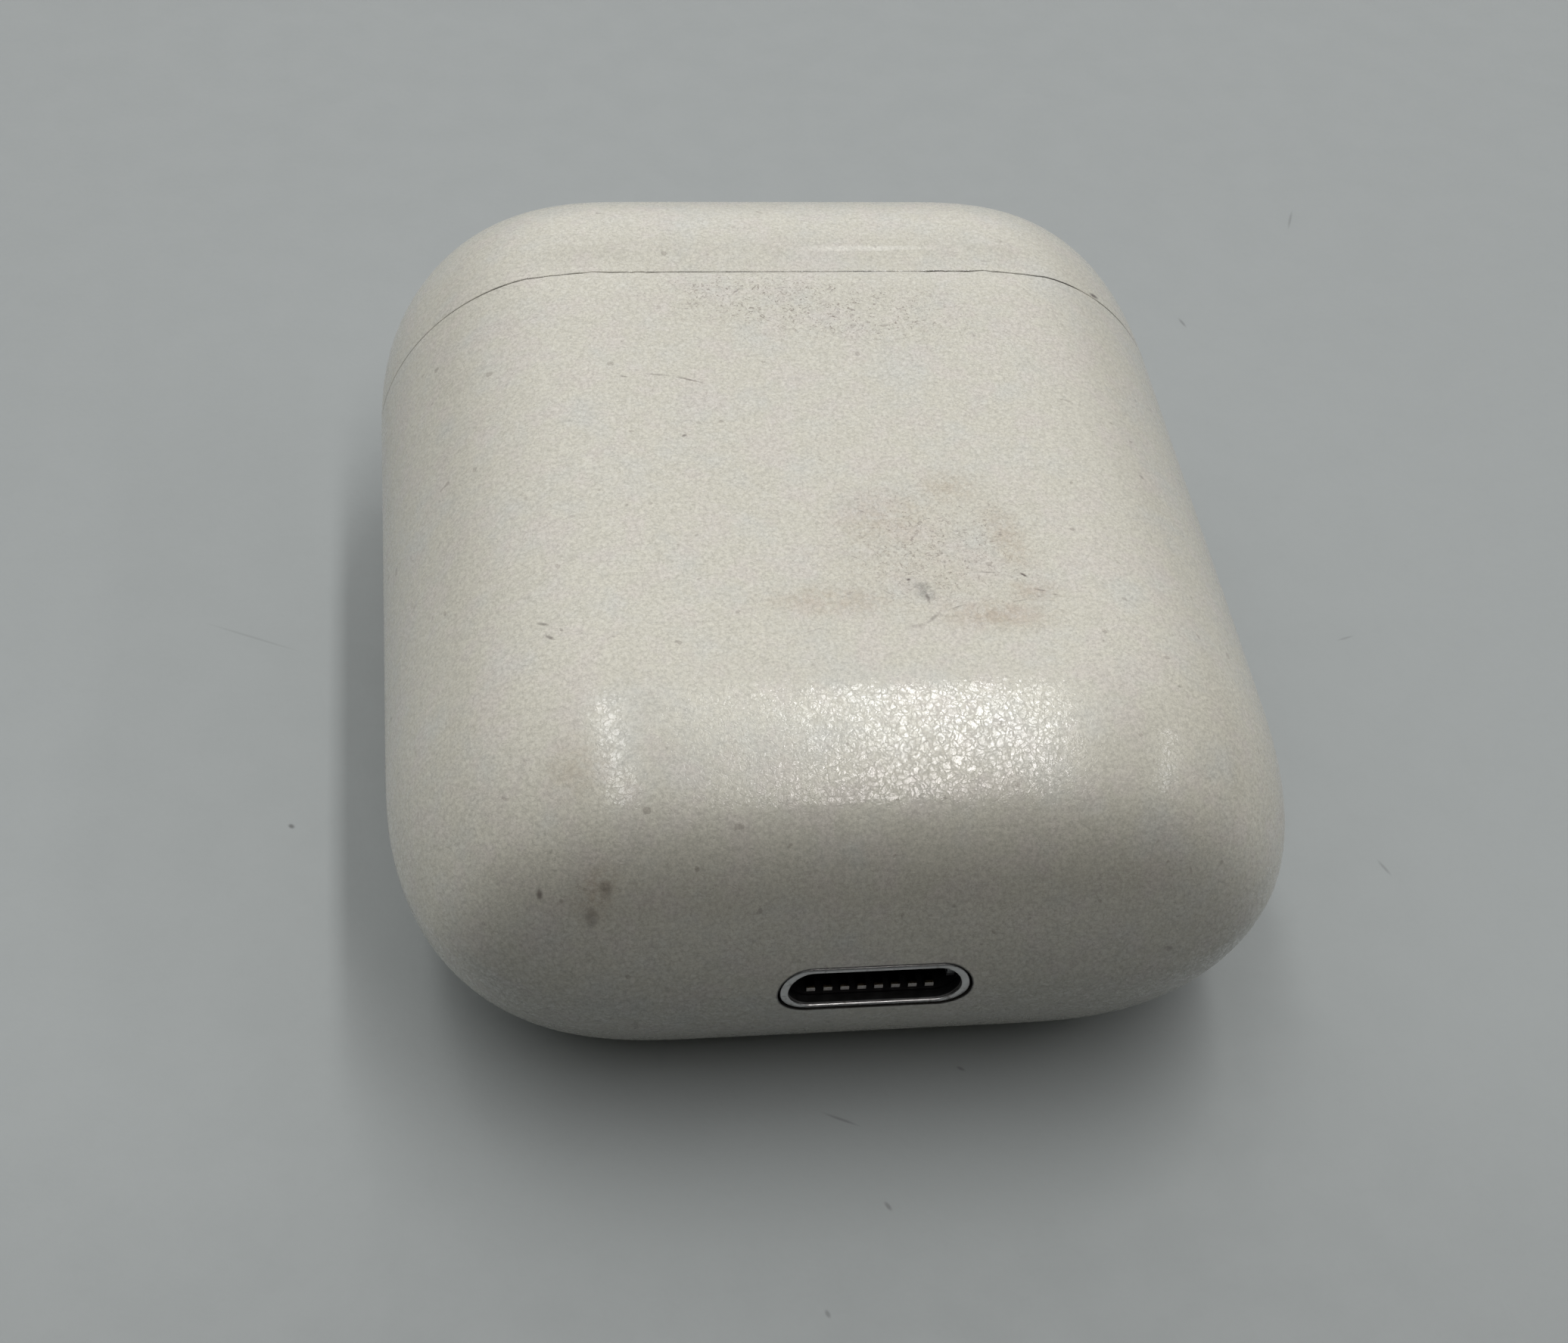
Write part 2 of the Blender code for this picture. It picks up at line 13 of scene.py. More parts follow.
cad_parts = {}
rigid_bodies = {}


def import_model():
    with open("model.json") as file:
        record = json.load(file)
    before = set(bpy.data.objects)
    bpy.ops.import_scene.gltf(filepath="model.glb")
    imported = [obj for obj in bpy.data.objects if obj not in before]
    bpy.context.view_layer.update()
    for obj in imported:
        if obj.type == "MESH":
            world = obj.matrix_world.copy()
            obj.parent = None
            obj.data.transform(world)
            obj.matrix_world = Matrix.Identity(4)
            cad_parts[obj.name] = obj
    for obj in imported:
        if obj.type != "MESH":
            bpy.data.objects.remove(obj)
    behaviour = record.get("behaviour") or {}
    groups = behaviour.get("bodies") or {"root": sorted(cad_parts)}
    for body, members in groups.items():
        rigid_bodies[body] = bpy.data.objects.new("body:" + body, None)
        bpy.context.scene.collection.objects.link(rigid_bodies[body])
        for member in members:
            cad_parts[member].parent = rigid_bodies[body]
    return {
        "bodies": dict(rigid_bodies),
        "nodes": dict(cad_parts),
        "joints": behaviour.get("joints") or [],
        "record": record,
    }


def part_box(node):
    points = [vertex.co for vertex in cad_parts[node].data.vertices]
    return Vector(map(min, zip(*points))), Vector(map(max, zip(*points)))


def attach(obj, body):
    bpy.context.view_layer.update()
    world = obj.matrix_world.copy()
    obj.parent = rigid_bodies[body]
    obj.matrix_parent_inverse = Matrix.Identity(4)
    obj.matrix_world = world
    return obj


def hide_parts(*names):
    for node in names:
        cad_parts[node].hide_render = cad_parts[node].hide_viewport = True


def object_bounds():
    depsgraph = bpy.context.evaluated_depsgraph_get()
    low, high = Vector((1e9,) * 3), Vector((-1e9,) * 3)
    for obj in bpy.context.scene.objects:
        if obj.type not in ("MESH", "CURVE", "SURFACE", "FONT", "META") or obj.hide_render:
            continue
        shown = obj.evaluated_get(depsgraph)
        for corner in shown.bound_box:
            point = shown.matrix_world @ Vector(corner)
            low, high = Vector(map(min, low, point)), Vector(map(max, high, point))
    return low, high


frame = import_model()
CAD_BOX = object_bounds()

MM = 0.001

# Sizes taken from the frame
LOW, HIGH = Vector(CAD_BOX[0]), Vector(CAD_BOX[1])
HALF_X = (HIGH.x - LOW.x) / 2
HALF_Y = (HIGH.y - LOW.y) / 2
HALF_Z = (HIGH.z - LOW.z) / 2
MID_Z = (HIGH.z + LOW.z) / 2
HINGE = next(joint for joint in frame["joints"] if joint["name"] == "lid_hinge")
SEAM_Y = HINGE["pos_m"][1]
HINGE_Z = HINGE["pos_m"][2]

# The case's rounded form, as in the CAD model
LID_CORNER = 14.4 * MM
PORT_CORNER = 14.6 * MM
CORNER_POWER = 2.86
EDGE_DEPTH_X = 12.7 * MM
EDGE_DEPTH_Y = 11.0 * MM
EDGE_POWER_Z = 1.66
EDGE_POWER_IN = 2.42
WALL = 1.3 * MM
SEAM_GAP = 0.045 * MM
SEAM_ROUND = 0.05 * MM
LIP_STEPS = (0.0, 0.12, 0.3, 0.6, 1.0, 2.5)  # cuts along the lip, in SEAM_ROUNDs from its edge
FIT_GAP = 0.15 * MM
GRID = 76                # quads along each side of the cube that the form starts from
FLAT_SHARE = 0.52        # share of the cube's top that becomes the flat face
SIDE_SHARE = 0.42        # share of the rounded edge that the cube's sides become

ALMOST_HALF = 0.4995

# Hinge openings, button and port
RELIEF_REACH = 0.68 * MM
RELIEF_HALF = 15 * MM
HINGE_CLEARANCE = 0.1 * MM
CUT_PAST = MM            # how far cutters reach past what they cut
BUTTON_HOLE = 2.6 * MM
RING_GAP = 0.1 * MM
RING_SIDE = 0.4 * MM     # width of the trim ring's band at its ends
RING_TOP = 0.25 * MM     # width of the band along the top and bottom
RING_POINTS = 40
# where the painted shade on the trim ring's inner wall begins
RING_DARK_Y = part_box("port_trim_ring")[0].y / MM + 0.10
PORT_MOUTH_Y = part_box("port_contact_1")[0].y / MM

# Floor, in the poses with the lid open
LID_RISE = 13.7 * MM     # how far the lid body's own point rises when it is open
FLOOR_STEP = 17.5 * MM

# Finger scoop across the seam
SCOOP_HALF = 13.6 * MM
SCOOP_BLEND = 2.2 * MM
SCOOP_DEPTH = 0.22 * MM
SCOOP_BELOW = 0.7 * MM
SCOOP_ABOVE = 2.2 * MM

# Camera
CAMERA_POINT = Vector((-20.03, -92.29, 101.23)) * MM
CAMERA_YAW = 0.209
CAMERA_PITCH = 0.801
CAMERA_ROLL = 0.124
CAMERA_LENS = 56.2


# Helpers

def new_object(name, mesh):
    obj = bpy.data.objects.new(name, mesh)
    bpy.context.scene.collection.objects.link(obj)
    return obj


def apply_modifiers(obj):
    """Replaces the object's mesh by its evaluated mesh, and clears its modifiers."""
    graph = bpy.context.evaluated_depsgraph_get()
    mesh = bpy.data.meshes.new_from_object(obj.evaluated_get(graph))
    obj.modifiers.clear()
    obj.data = mesh


def cut(obj, cutter):
    """Cuts the cutter out of obj, and removes the cutter."""
    modifier = obj.modifiers.new("cut", "BOOLEAN")
    modifier.operation = "DIFFERENCE"
    modifier.solver = "EXACT"
    modifier.object = cutter
    apply_modifiers(obj)
    bpy.data.objects.remove(cutter, do_unlink=True)


def smooth(obj, angle=40):
    obj.data.shade_smooth()
    obj.data.set_sharp_from_angle(angle=math.radians(angle))


def tool(build):
    """Makes a cutter from a bmesh."""
    mesh = bpy.data.meshes.new("tool")
    build.to_mesh(mesh)
    build.free()
    return new_object("tool", mesh)


def box_tool(low, high):
    low, high = Vector(low), Vector(high)
    build = bmesh.new()
    bmesh.ops.create_cube(build, size=1.0)
    bmesh.ops.scale(build, vec=high - low, verts=build.verts)
    bmesh.ops.translate(build, vec=(low + high) / 2, verts=build.verts)
    return tool(build)


# The rounded form

def outline(along, inset_x, inset_y):
    """Points of the outline, drawn in from the long sides and the ends.

    along runs from 0 to 8, an eighth for each half side.
    """
    octant = np.floor(along).astype(int) % 8
    part = along - np.floor(along)
    part = np.where(octant % 2 == 0, part, 1 - part)      # 0 at a side's middle, 1 at a corner's middle
    quadrant = octant // 2
    side_x = np.where((quadrant == 0) | (quadrant == 3), 1.0, -1.0)
    side_y = np.where(quadrant < 2, 1.0, -1.0)
    steep = np.isin(octant, (1, 2, 5, 6))                 # octants that start at the ends in Y
    radius = np.where(side_y > 0, LID_CORNER, PORT_CORNER)
    rounding = radius - inset_x
    straight_x = HALF_X - radius
    straight_y = HALF_Y - radius
    straight = np.where(steep, straight_x, straight_y)
    arc = radius * math.pi / 4
    share = straight / (straight + arc)
    on_arc = np.clip((part - share) / (1 - share), 0, 1) * math.pi / 4
    run = np.clip(part / share, 0, 1) * straight
    near = np.cos(on_arc) ** (2 / CORNER_POWER) * rounding
    far = np.sin(on_arc) ** (2 / CORNER_POWER) * rounding
    x = np.where(steep, run + far, straight_x + near)
    y = np.where(steep, straight_y + near, run + far)
    shift = (inset_x - inset_y) * np.clip(y / straight_y, 0, 1)
    return side_x * x, side_y * (y + shift)


def scoop_depth(x, y):
    """Depth of the finger scoop at a point of the front, 0 outside it."""
    across = np.clip((SCOOP_HALF + SCOOP_BLEND / 2 - np.abs(x)) / SCOOP_BLEND, 0, 1)
    across = across * across * (3 - 2 * across)
    offset = y - SEAM_Y
    reach = np.where(offset > 0, SCOOP_ABOVE, SCOOP_BELOW)
    along = np.clip(1 - (offset / reach) ** 2, 0, 1)
    return SCOOP_DEPTH * across * along


def pebble_points(cube):
    """Maps points of a cube's surface, from -1 to 1, to the case's rounded form."""
    u, v, w = cube[:, 0], cube[:, 1], cube[:, 2]
    ring = np.maximum(np.abs(u), np.abs(v))
    on_side = np.abs(w) < 0.9999
    safe = np.maximum(ring, 1e-9)
    a, b = u / safe, v / safe
    side_faces_x = np.abs(a) >= np.abs(b)
    along = np.where(side_faces_x, np.abs(b), 2 - np.abs(a))
    along = np.where((u < 0) & (v >= 0), 4 - along, along)
    along = np.where((u < 0) & (v < 0), 4 + along, along)
    along = np.where((u >= 0) & (v < 0), 8 - along, along)
    top_roll = SIDE_SHARE + (1 - SIDE_SHARE) * (1 - ring) / (1 - FLAT_SHARE)
    roll = np.where(on_side, np.abs(w) * SIDE_SHARE, np.clip(top_roll, 0, 1)) * math.pi / 2
    height = HALF_Z * np.sin(roll) ** (2 / EDGE_POWER_Z)
    share = 1 - np.clip(np.cos(roll), 0, 1) ** (2 / EDGE_POWER_IN)
    x, y = outline(along % 8, EDGE_DEPTH_X * share, EDGE_DEPTH_Y * share)
    shrink = np.where(on_side, 1.0, np.clip(ring / FLAT_SHARE, 0, 1))
    return np.column_stack((x * shrink, y * shrink, MID_Z + np.sign(w) * height))


def pebble_mesh():
    build = bmesh.new()
    bmesh.ops.create_cube(build, size=2.0)
    bmesh.ops.subdivide_edges(build, edges=build.edges, cuts=GRID - 1, use_grid_fill=True)
    mesh = bpy.data.meshes.new("pebble")
    build.to_mesh(mesh)
    build.free()
    cube = np.zeros(len(mesh.vertices) * 3)
    mesh.vertices.foreach_get("co", cube)
    points = pebble_points(cube.reshape(-1, 3))
    front = points[:, 2] > MID_Z
    points[:, 2] -= np.where(front, scoop_depth(points[:, 0], points[:, 1]), 0)
    mesh.vertices.foreach_set("co", points.ravel())
    mesh.update()
    return mesh


def shell_half(name, side):
    """One side of the form, cut at the seam with a rounded lip. Its wall is thinner only under the scoop."""
    edge_y = SEAM_Y + side * SEAM_GAP / 2
    build = bmesh.new()
    build.from_mesh(pebble_mesh())
    for step in LIP_STEPS:
        cut_y = edge_y + side * step * SEAM_ROUND
        bmesh.ops.bisect_plane(build, geom=build.verts[:] + build.edges[:] + build.faces[:],
                               plane_co=(0, cut_y, 0), plane_no=(0, -side, 0),
                               clear_outer=step == 0.0)
    build.normal_update()
    normals = {vert: vert.normal.copy() for vert in build.verts}
    for vert in build.verts:
        distance = (vert.co.y - edge_y) * side
        if distance < SEAM_ROUND:
            rounding = SEAM_ROUND - math.sqrt(max(SEAM_ROUND ** 2 - (SEAM_ROUND - distance) ** 2, 0.0))
            flat = normals[vert]
            flat.y = 0
            vert.co -= flat.normalized() * rounding
    bmesh.ops.recalc_face_normals(build, faces=build.faces)
    mesh = bpy.data.meshes.new(name)
    build.to_mesh(mesh)
    build.free()
    obj = new_object(name, mesh)
    thickness = obj.vertex_groups.new(name="thickness")
    for vert in mesh.vertices:
        scooped = float(scoop_depth(vert.co.x, vert.co.y)) if vert.co.z > MID_Z else 0.0
        thickness.add([vert.index], 1 - scooped / WALL, "REPLACE")
    solidify = obj.modifiers.new("wall", "SOLIDIFY")
    solidify.thickness = WALL
    solidify.offset = -1
    solidify.vertex_group = "thickness"
    apply_modifiers(obj)
    return obj


def node_slot(node):
    """The record's material slot of a CAD node."""
    return next(part["material_slot"] for part in frame["record"]["subparts"] if part["node"] == node)


def stadium_tool(centre, width, height, length):
    """A bar along Y with round ends in X, slightly short of a half circle so that its edges don't meet."""
    build = bmesh.new()
    bmesh.ops.create_cube(build, size=1.0)
    bmesh.ops.scale(build, vec=(width, length, height), verts=build.verts)
    long_edges = [edge for edge in build.edges
                  if abs(edge.verts[0].co.y - edge.verts[1].co.y) > length / 2]
    bmesh.ops.bevel(build, geom=long_edges, offset=height * ALMOST_HALF, segments=16, profile=0.5,
                    affect="EDGES")
    bmesh.ops.translate(build, vec=centre, verts=build.verts)
    return tool(build)


def rod_tool(centre, radius, length, sides=64):
    build = bmesh.new()
    bmesh.ops.create_cone(build, cap_ends=True, segments=sides, radius1=radius, radius2=radius,
                          depth=length)
    bmesh.ops.translate(build, vec=centre, verts=build.verts)
    return tool(build)


# Node trees

FAR_AWAY = 1.0e6         # flattens the height out of a mapping


class Tree:
    """A material's node tree, with short ways to add the nodes that the finishes use."""

    def __init__(self, name):
        self.material = bpy.data.materials.new(name)
        self.material.use_nodes = True
        self.tree = self.material.node_tree
        self.shader = self.tree.nodes["Principled BSDF"]
        place = self.add("ShaderNodeTexCoord")
        self.mm = self.vector("SCALE", place.outputs["Object"], scale=1 / MM)

    def add(self, kind, **settings):
        node = self.tree.nodes.new(kind)
        for name, value in settings.items():
            setattr(node, name, value)
        return node

    def put(self, socket, value):
        """Sets a socket, or links one to it."""
        if isinstance(value, bpy.types.NodeSocket):
            self.tree.links.new(value, socket)
        else:
            socket.default_value = value

    def math(self, operation, first, second=0.0, third=0.0, clamp=False):
        node = self.add("ShaderNodeMath", operation=operation, use_clamp=clamp)
        for socket, value in zip(node.inputs, (first, second, third)):
            self.put(socket, value)
        return node.outputs[0]

    def vector(self, operation, first, second=(0.0, 0.0, 0.0), scale=1.0):
        node = self.add("ShaderNodeVectorMath", operation=operation)
        self.put(node.inputs[0], first)
        if operation == "SCALE":
            self.put(node.inputs["Scale"], scale)
        else:
            self.put(node.inputs[1], second)
        return node.outputs["Value" if operation in ("LENGTH", "DOT_PRODUCT") else "Vector"]

    def axes(self, vector):
        node = self.add("ShaderNodeSeparateXYZ")
        self.put(node.inputs[0], vector)
        return node.outputs

    def stretch(self, turn, scale):
        """The position in millimetres, turned about Z and scaled."""
        node = self.add("ShaderNodeMapping")
        self.put(node.inputs["Vector"], self.mm)
        node.inputs["Rotation"].default_value = (0, 0, math.radians(turn))
        node.inputs["Scale"].default_value = scale
        return node.outputs[0]

    def noise(self, scale, detail=2.0, roughness=0.5, vector=None, distortion=0.0):
        node = self.add("ShaderNodeTexNoise")
        self.put(node.inputs["Vector"], self.mm if vector is None else vector)
        node.inputs["Scale"].default_value = scale
        node.inputs["Detail"].default_value = detail
        node.inputs["Roughness"].default_value = roughness
        node.inputs["Distortion"].default_value = distortion
        return node.outputs["Fac"]

    def ramp(self, value, start, end, low=0.0, high=1.0):
        """Goes smoothly from low to high while value goes from start to end."""
        node = self.add("ShaderNodeMapRange", interpolation_type="SMOOTHSTEP")
        for socket, item in zip(node.inputs, (value, start, end, low, high)):
            self.put(socket, item)
        return node.outputs[0]

    def mix(self, share, first, second, blend="MIX"):
        node = self.add("ShaderNodeMix", data_type="RGBA", blend_type=blend)
        self.put(node.inputs[0], share)
        for socket, value in ((node.inputs[6], first), (node.inputs[7], second)):
            self.put(socket, value if isinstance(value, bpy.types.NodeSocket) else (*value, 1.0))
        return node.outputs[2]

    def grey(self, value):
        """A grey colour of that level."""
        node = self.add("ShaderNodeCombineColor")
        for socket in node.inputs:
            self.put(socket, value)
        return node.outputs[0]

    def bump(self, height, distance, strength=1.0):
        """distance is in millimetres."""
        node = self.add("ShaderNodeBump")
        self.put(node.inputs["Height"], height)
        node.inputs["Distance"].default_value = distance * MM
        node.inputs["Strength"].default_value = strength
        return node.outputs[0]

    def finish(self, colour, roughness, normal=None, metallic=None, coat=None, **uniform):
        """Links what varies, and sets the uniform inputs on the shader itself."""
        self.put(self.shader.inputs["Base Color"], colour)
        self.put(self.shader.inputs["Roughness"], roughness)
        if metallic is not None:
            self.put(self.shader.inputs["Metallic"], metallic)
        if coat is not None:
            self.put(self.shader.inputs["Coat Weight"], coat)
        if normal is not None:
            self.put(self.shader.inputs["Normal"], normal)
            self.put(self.shader.inputs["Coat Normal"], normal)
        for name, value in uniform.items():
            self.shader.inputs[name.replace("_", " ")].default_value = value
        return self.material

    def oval(self, centre, reach, turn=0.0, strength=1.0, soft=0.7):
        """strength inside an oval seen from above, falling smoothly to 0 at its edge. In millimetres."""
        node = self.add("ShaderNodeMapping", vector_type="TEXTURE")
        self.put(node.inputs["Vector"], self.mm)
        node.inputs["Location"].default_value = (*centre, 0)
        node.inputs["Rotation"].default_value = (0, 0, math.radians(turn))
        node.inputs["Scale"].default_value = (*reach, FAR_AWAY)
        return self.ramp(self.vector("LENGTH", node.outputs[0]), 1 - soft, 1, strength, 0.0)

    def stroke(self, start, end, width, strength):
        """A thin straight mark seen from above, as a long oval."""
        run = Vector(end) - Vector(start)
        centre = (Vector(end) + Vector(start)) / 2
        turn = math.degrees(math.atan2(run.y, run.x))
        return self.oval(centre, (run.length / 2 + width, width), turn, strength, 0.8)

    def most(self, values):
        """The greatest of several values."""
        values = list(values)
        while len(values) > 1:
            values = [self.math("MAXIMUM", values[0], values[1]), *values[2:]]
        return values[0]


# White gloss plastic, worn and stained, with painted shade and a painted highlight

WHITE_LIGHT = (0.708, 0.688, 0.600)
WHITE_WARM = (0.695, 0.668, 0.570)
WHITE_COOL = (0.665, 0.672, 0.640)
WHITE_DULL = (0.600, 0.580, 0.500)
WHITE_PINK = (0.710, 0.662, 0.605)

# start, end, width, darkening, in millimetres on the front
SCRATCHES = (
    ((-8.7, 4.75), (-7.2, 4.55), 0.09, 0.45),
    ((-7.2, 4.55), (-5.5, 3.9), 0.09, 0.60),
    ((-9.9, 4.6), (-9.5, 4.5), 0.10, 0.50),
    ((-7.05, -0.15), (-6.95, -0.05), 0.14, 0.70),
    ((-14.9, -12.2), (-14.4, -12.5), 0.12, 0.55),
    ((-14.6, -13.1), (-14.2, -13.5), 0.12, 0.60),
    ((-13.9, -12.9), (-13.8, -13.1), 0.10, 0.45),
    ((-15.4, -24.2), (-15.3, -24.3), 0.16, 0.65),
    ((-12.6, -24.6), (-12.3, -24.7), 0.28, 0.35),
    ((-13.2, -25.2), (-13.0, -25.3), 0.30, 0.35),
    ((2.68, -10.72), (2.76, -10.70), 0.12, 0.85),
    ((8.2, -10.4), (8.5, -10.7), 0.10, 0.90),
    ((6.2, -10.3), (7.0, -10.35), 0.07, 0.45),
    ((8.6, -11.5), (9.3, -11.7), 0.08, 0.50),
    ((9.5, -11.9), (9.8, -11.95), 0.08, 0.45),
    ((7.3, -12.4), (8.3, -12.2), 0.07, 0.35),
    ((3.4, -11.6), (3.5, -12.3), 0.14, 0.55),
    ((2.2, -13.9), (3.1, -13.7), 0.16, 0.30),
    ((3.1, -13.7), (3.9, -12.9), 0.14, 0.40),
    ((4.3, -12.8), (5.3, -12.4), 0.07, 0.35),
    ((1.2, -11.2), (2.0, -11.9), 0.07, 0.30),
    ((-3.0, -14.2), (-1.4, -13.6), 0.06, 0.22),
    ((0.2, -9.0), (0.5, -9.2), 0.08, 0.35),
    ((1.0, -5.8), (1.3, -6.0), 0.08, 0.40),
    ((-3.5, 11.2), (-2.9, 11.8), 0.08, 0.45),
    ((-1.2, 11.7), (-0.4, 11.9), 0.07, 0.35),
    ((1.9, 11.4), (2.2, 11.8), 0.07, 0.35),
    ((4.2, 10.8), (4.9, 11.0), 0.06, 0.30),
    ((-5.6, 10.4), (-5.2, 10.6), 0.07, 0.35),
    ((17.2, 13.75), (17.5, 13.85), 0.25, 0.90),
)

# centre, reach, turn in degrees, strength, in millimetres on the front
STAINS = (
    ((-1.0, -12.0), (5.2, 1.6), -3, 0.36),
    ((6.6, -13.2), (4.2, 1.6), -4, 0.45),
    ((8.0, -8.0), (1.7, 3.8), 10, 0.36),
    ((5.8, -4.2), (2.4, 2.0), 0, 0.32),
    ((2.2, -6.5), (4.2, 3.6), 0, 0.30),
    ((8.6, -11.6), (2.2, 1.3), 0, 0.38),
    ((3.5, -9.5), (6.5, 5.5), 0, 0.16),
    ((-12.9, -24.7), (1.6, 1.1), 0, 0.35),
    ((-13.5, -20.5), (2.2, 2.0), 0, 0.25),
)


def scratch_layers(tree):
    """Hair scratches: streaks of stretched noise at several angles, each layer thinned by a broad noise."""
    total = 0.0
    for turn, across, density in ((18, 9.0, 0.64), (-37, 11.0, 0.66), (71, 10.0, 0.66), (-8, 14.0, 0.63)):
        streaks = tree.noise(1.0, 1.0, 0.5, tree.stretch(turn, (0.22, across, 0.22)))
        patchy = tree.noise(0.35, 2.0, 0.5, tree.stretch(turn + 40, (1, 1, 1)))
        lines = tree.ramp(streaks, density, density + 0.07)
        layer = tree.math("MULTIPLY", lines, tree.ramp(patchy, 0.42, 0.7))
        total = tree.math("MAXIMUM", total, layer)
    return total


def port_distance(tree):
    """Millimetres from the outline of the port's hole, seen along Y, negative inside it."""
    axes = tree.axes(tree.mm)
    ring_low, ring_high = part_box("port_trim_ring")
    half_height = ((ring_high.z - ring_low.z) / 2 + RING_GAP) / MM
    half_straight = ((ring_high.x - ring_low.x) / 2 + RING_GAP) / MM - half_height
    across = tree.math("MAXIMUM", tree.math("SUBTRACT", tree.math("ABSOLUTE", axes["X"]), half_straight), 0.0)
    node = tree.add("ShaderNodeCombineXYZ")
    tree.put(node.inputs[0], across)
    tree.put(node.inputs[1], tree.math("SUBTRACT", axes["Z"], MID_Z / MM))
    return tree.math("SUBTRACT", tree.vector("LENGTH", node.outputs[0]), half_height)


def crackle_distance(tree):
    """Distance to the nearest line of a fine, wandering crackle."""
    cells = tree.add("ShaderNodeTexVoronoi", feature="DISTANCE_TO_EDGE")
    wandering = tree.add("ShaderNodeVectorMath", operation="ADD")
    tree.put(wandering.inputs[0], tree.mm)
    wobble = tree.add("ShaderNodeTexNoise")
    tree.put(wobble.inputs["Vector"], tree.mm)
    wobble.inputs["Scale"].default_value = 2.0
    tree.put(wandering.inputs[1], tree.vector("SCALE", wobble.outputs["Color"], scale=0.7))
    tree.put(cells.inputs["Vector"], wandering.outputs[0])
    cells.inputs["Scale"].default_value = 3.0
    return cells.outputs["Distance"]


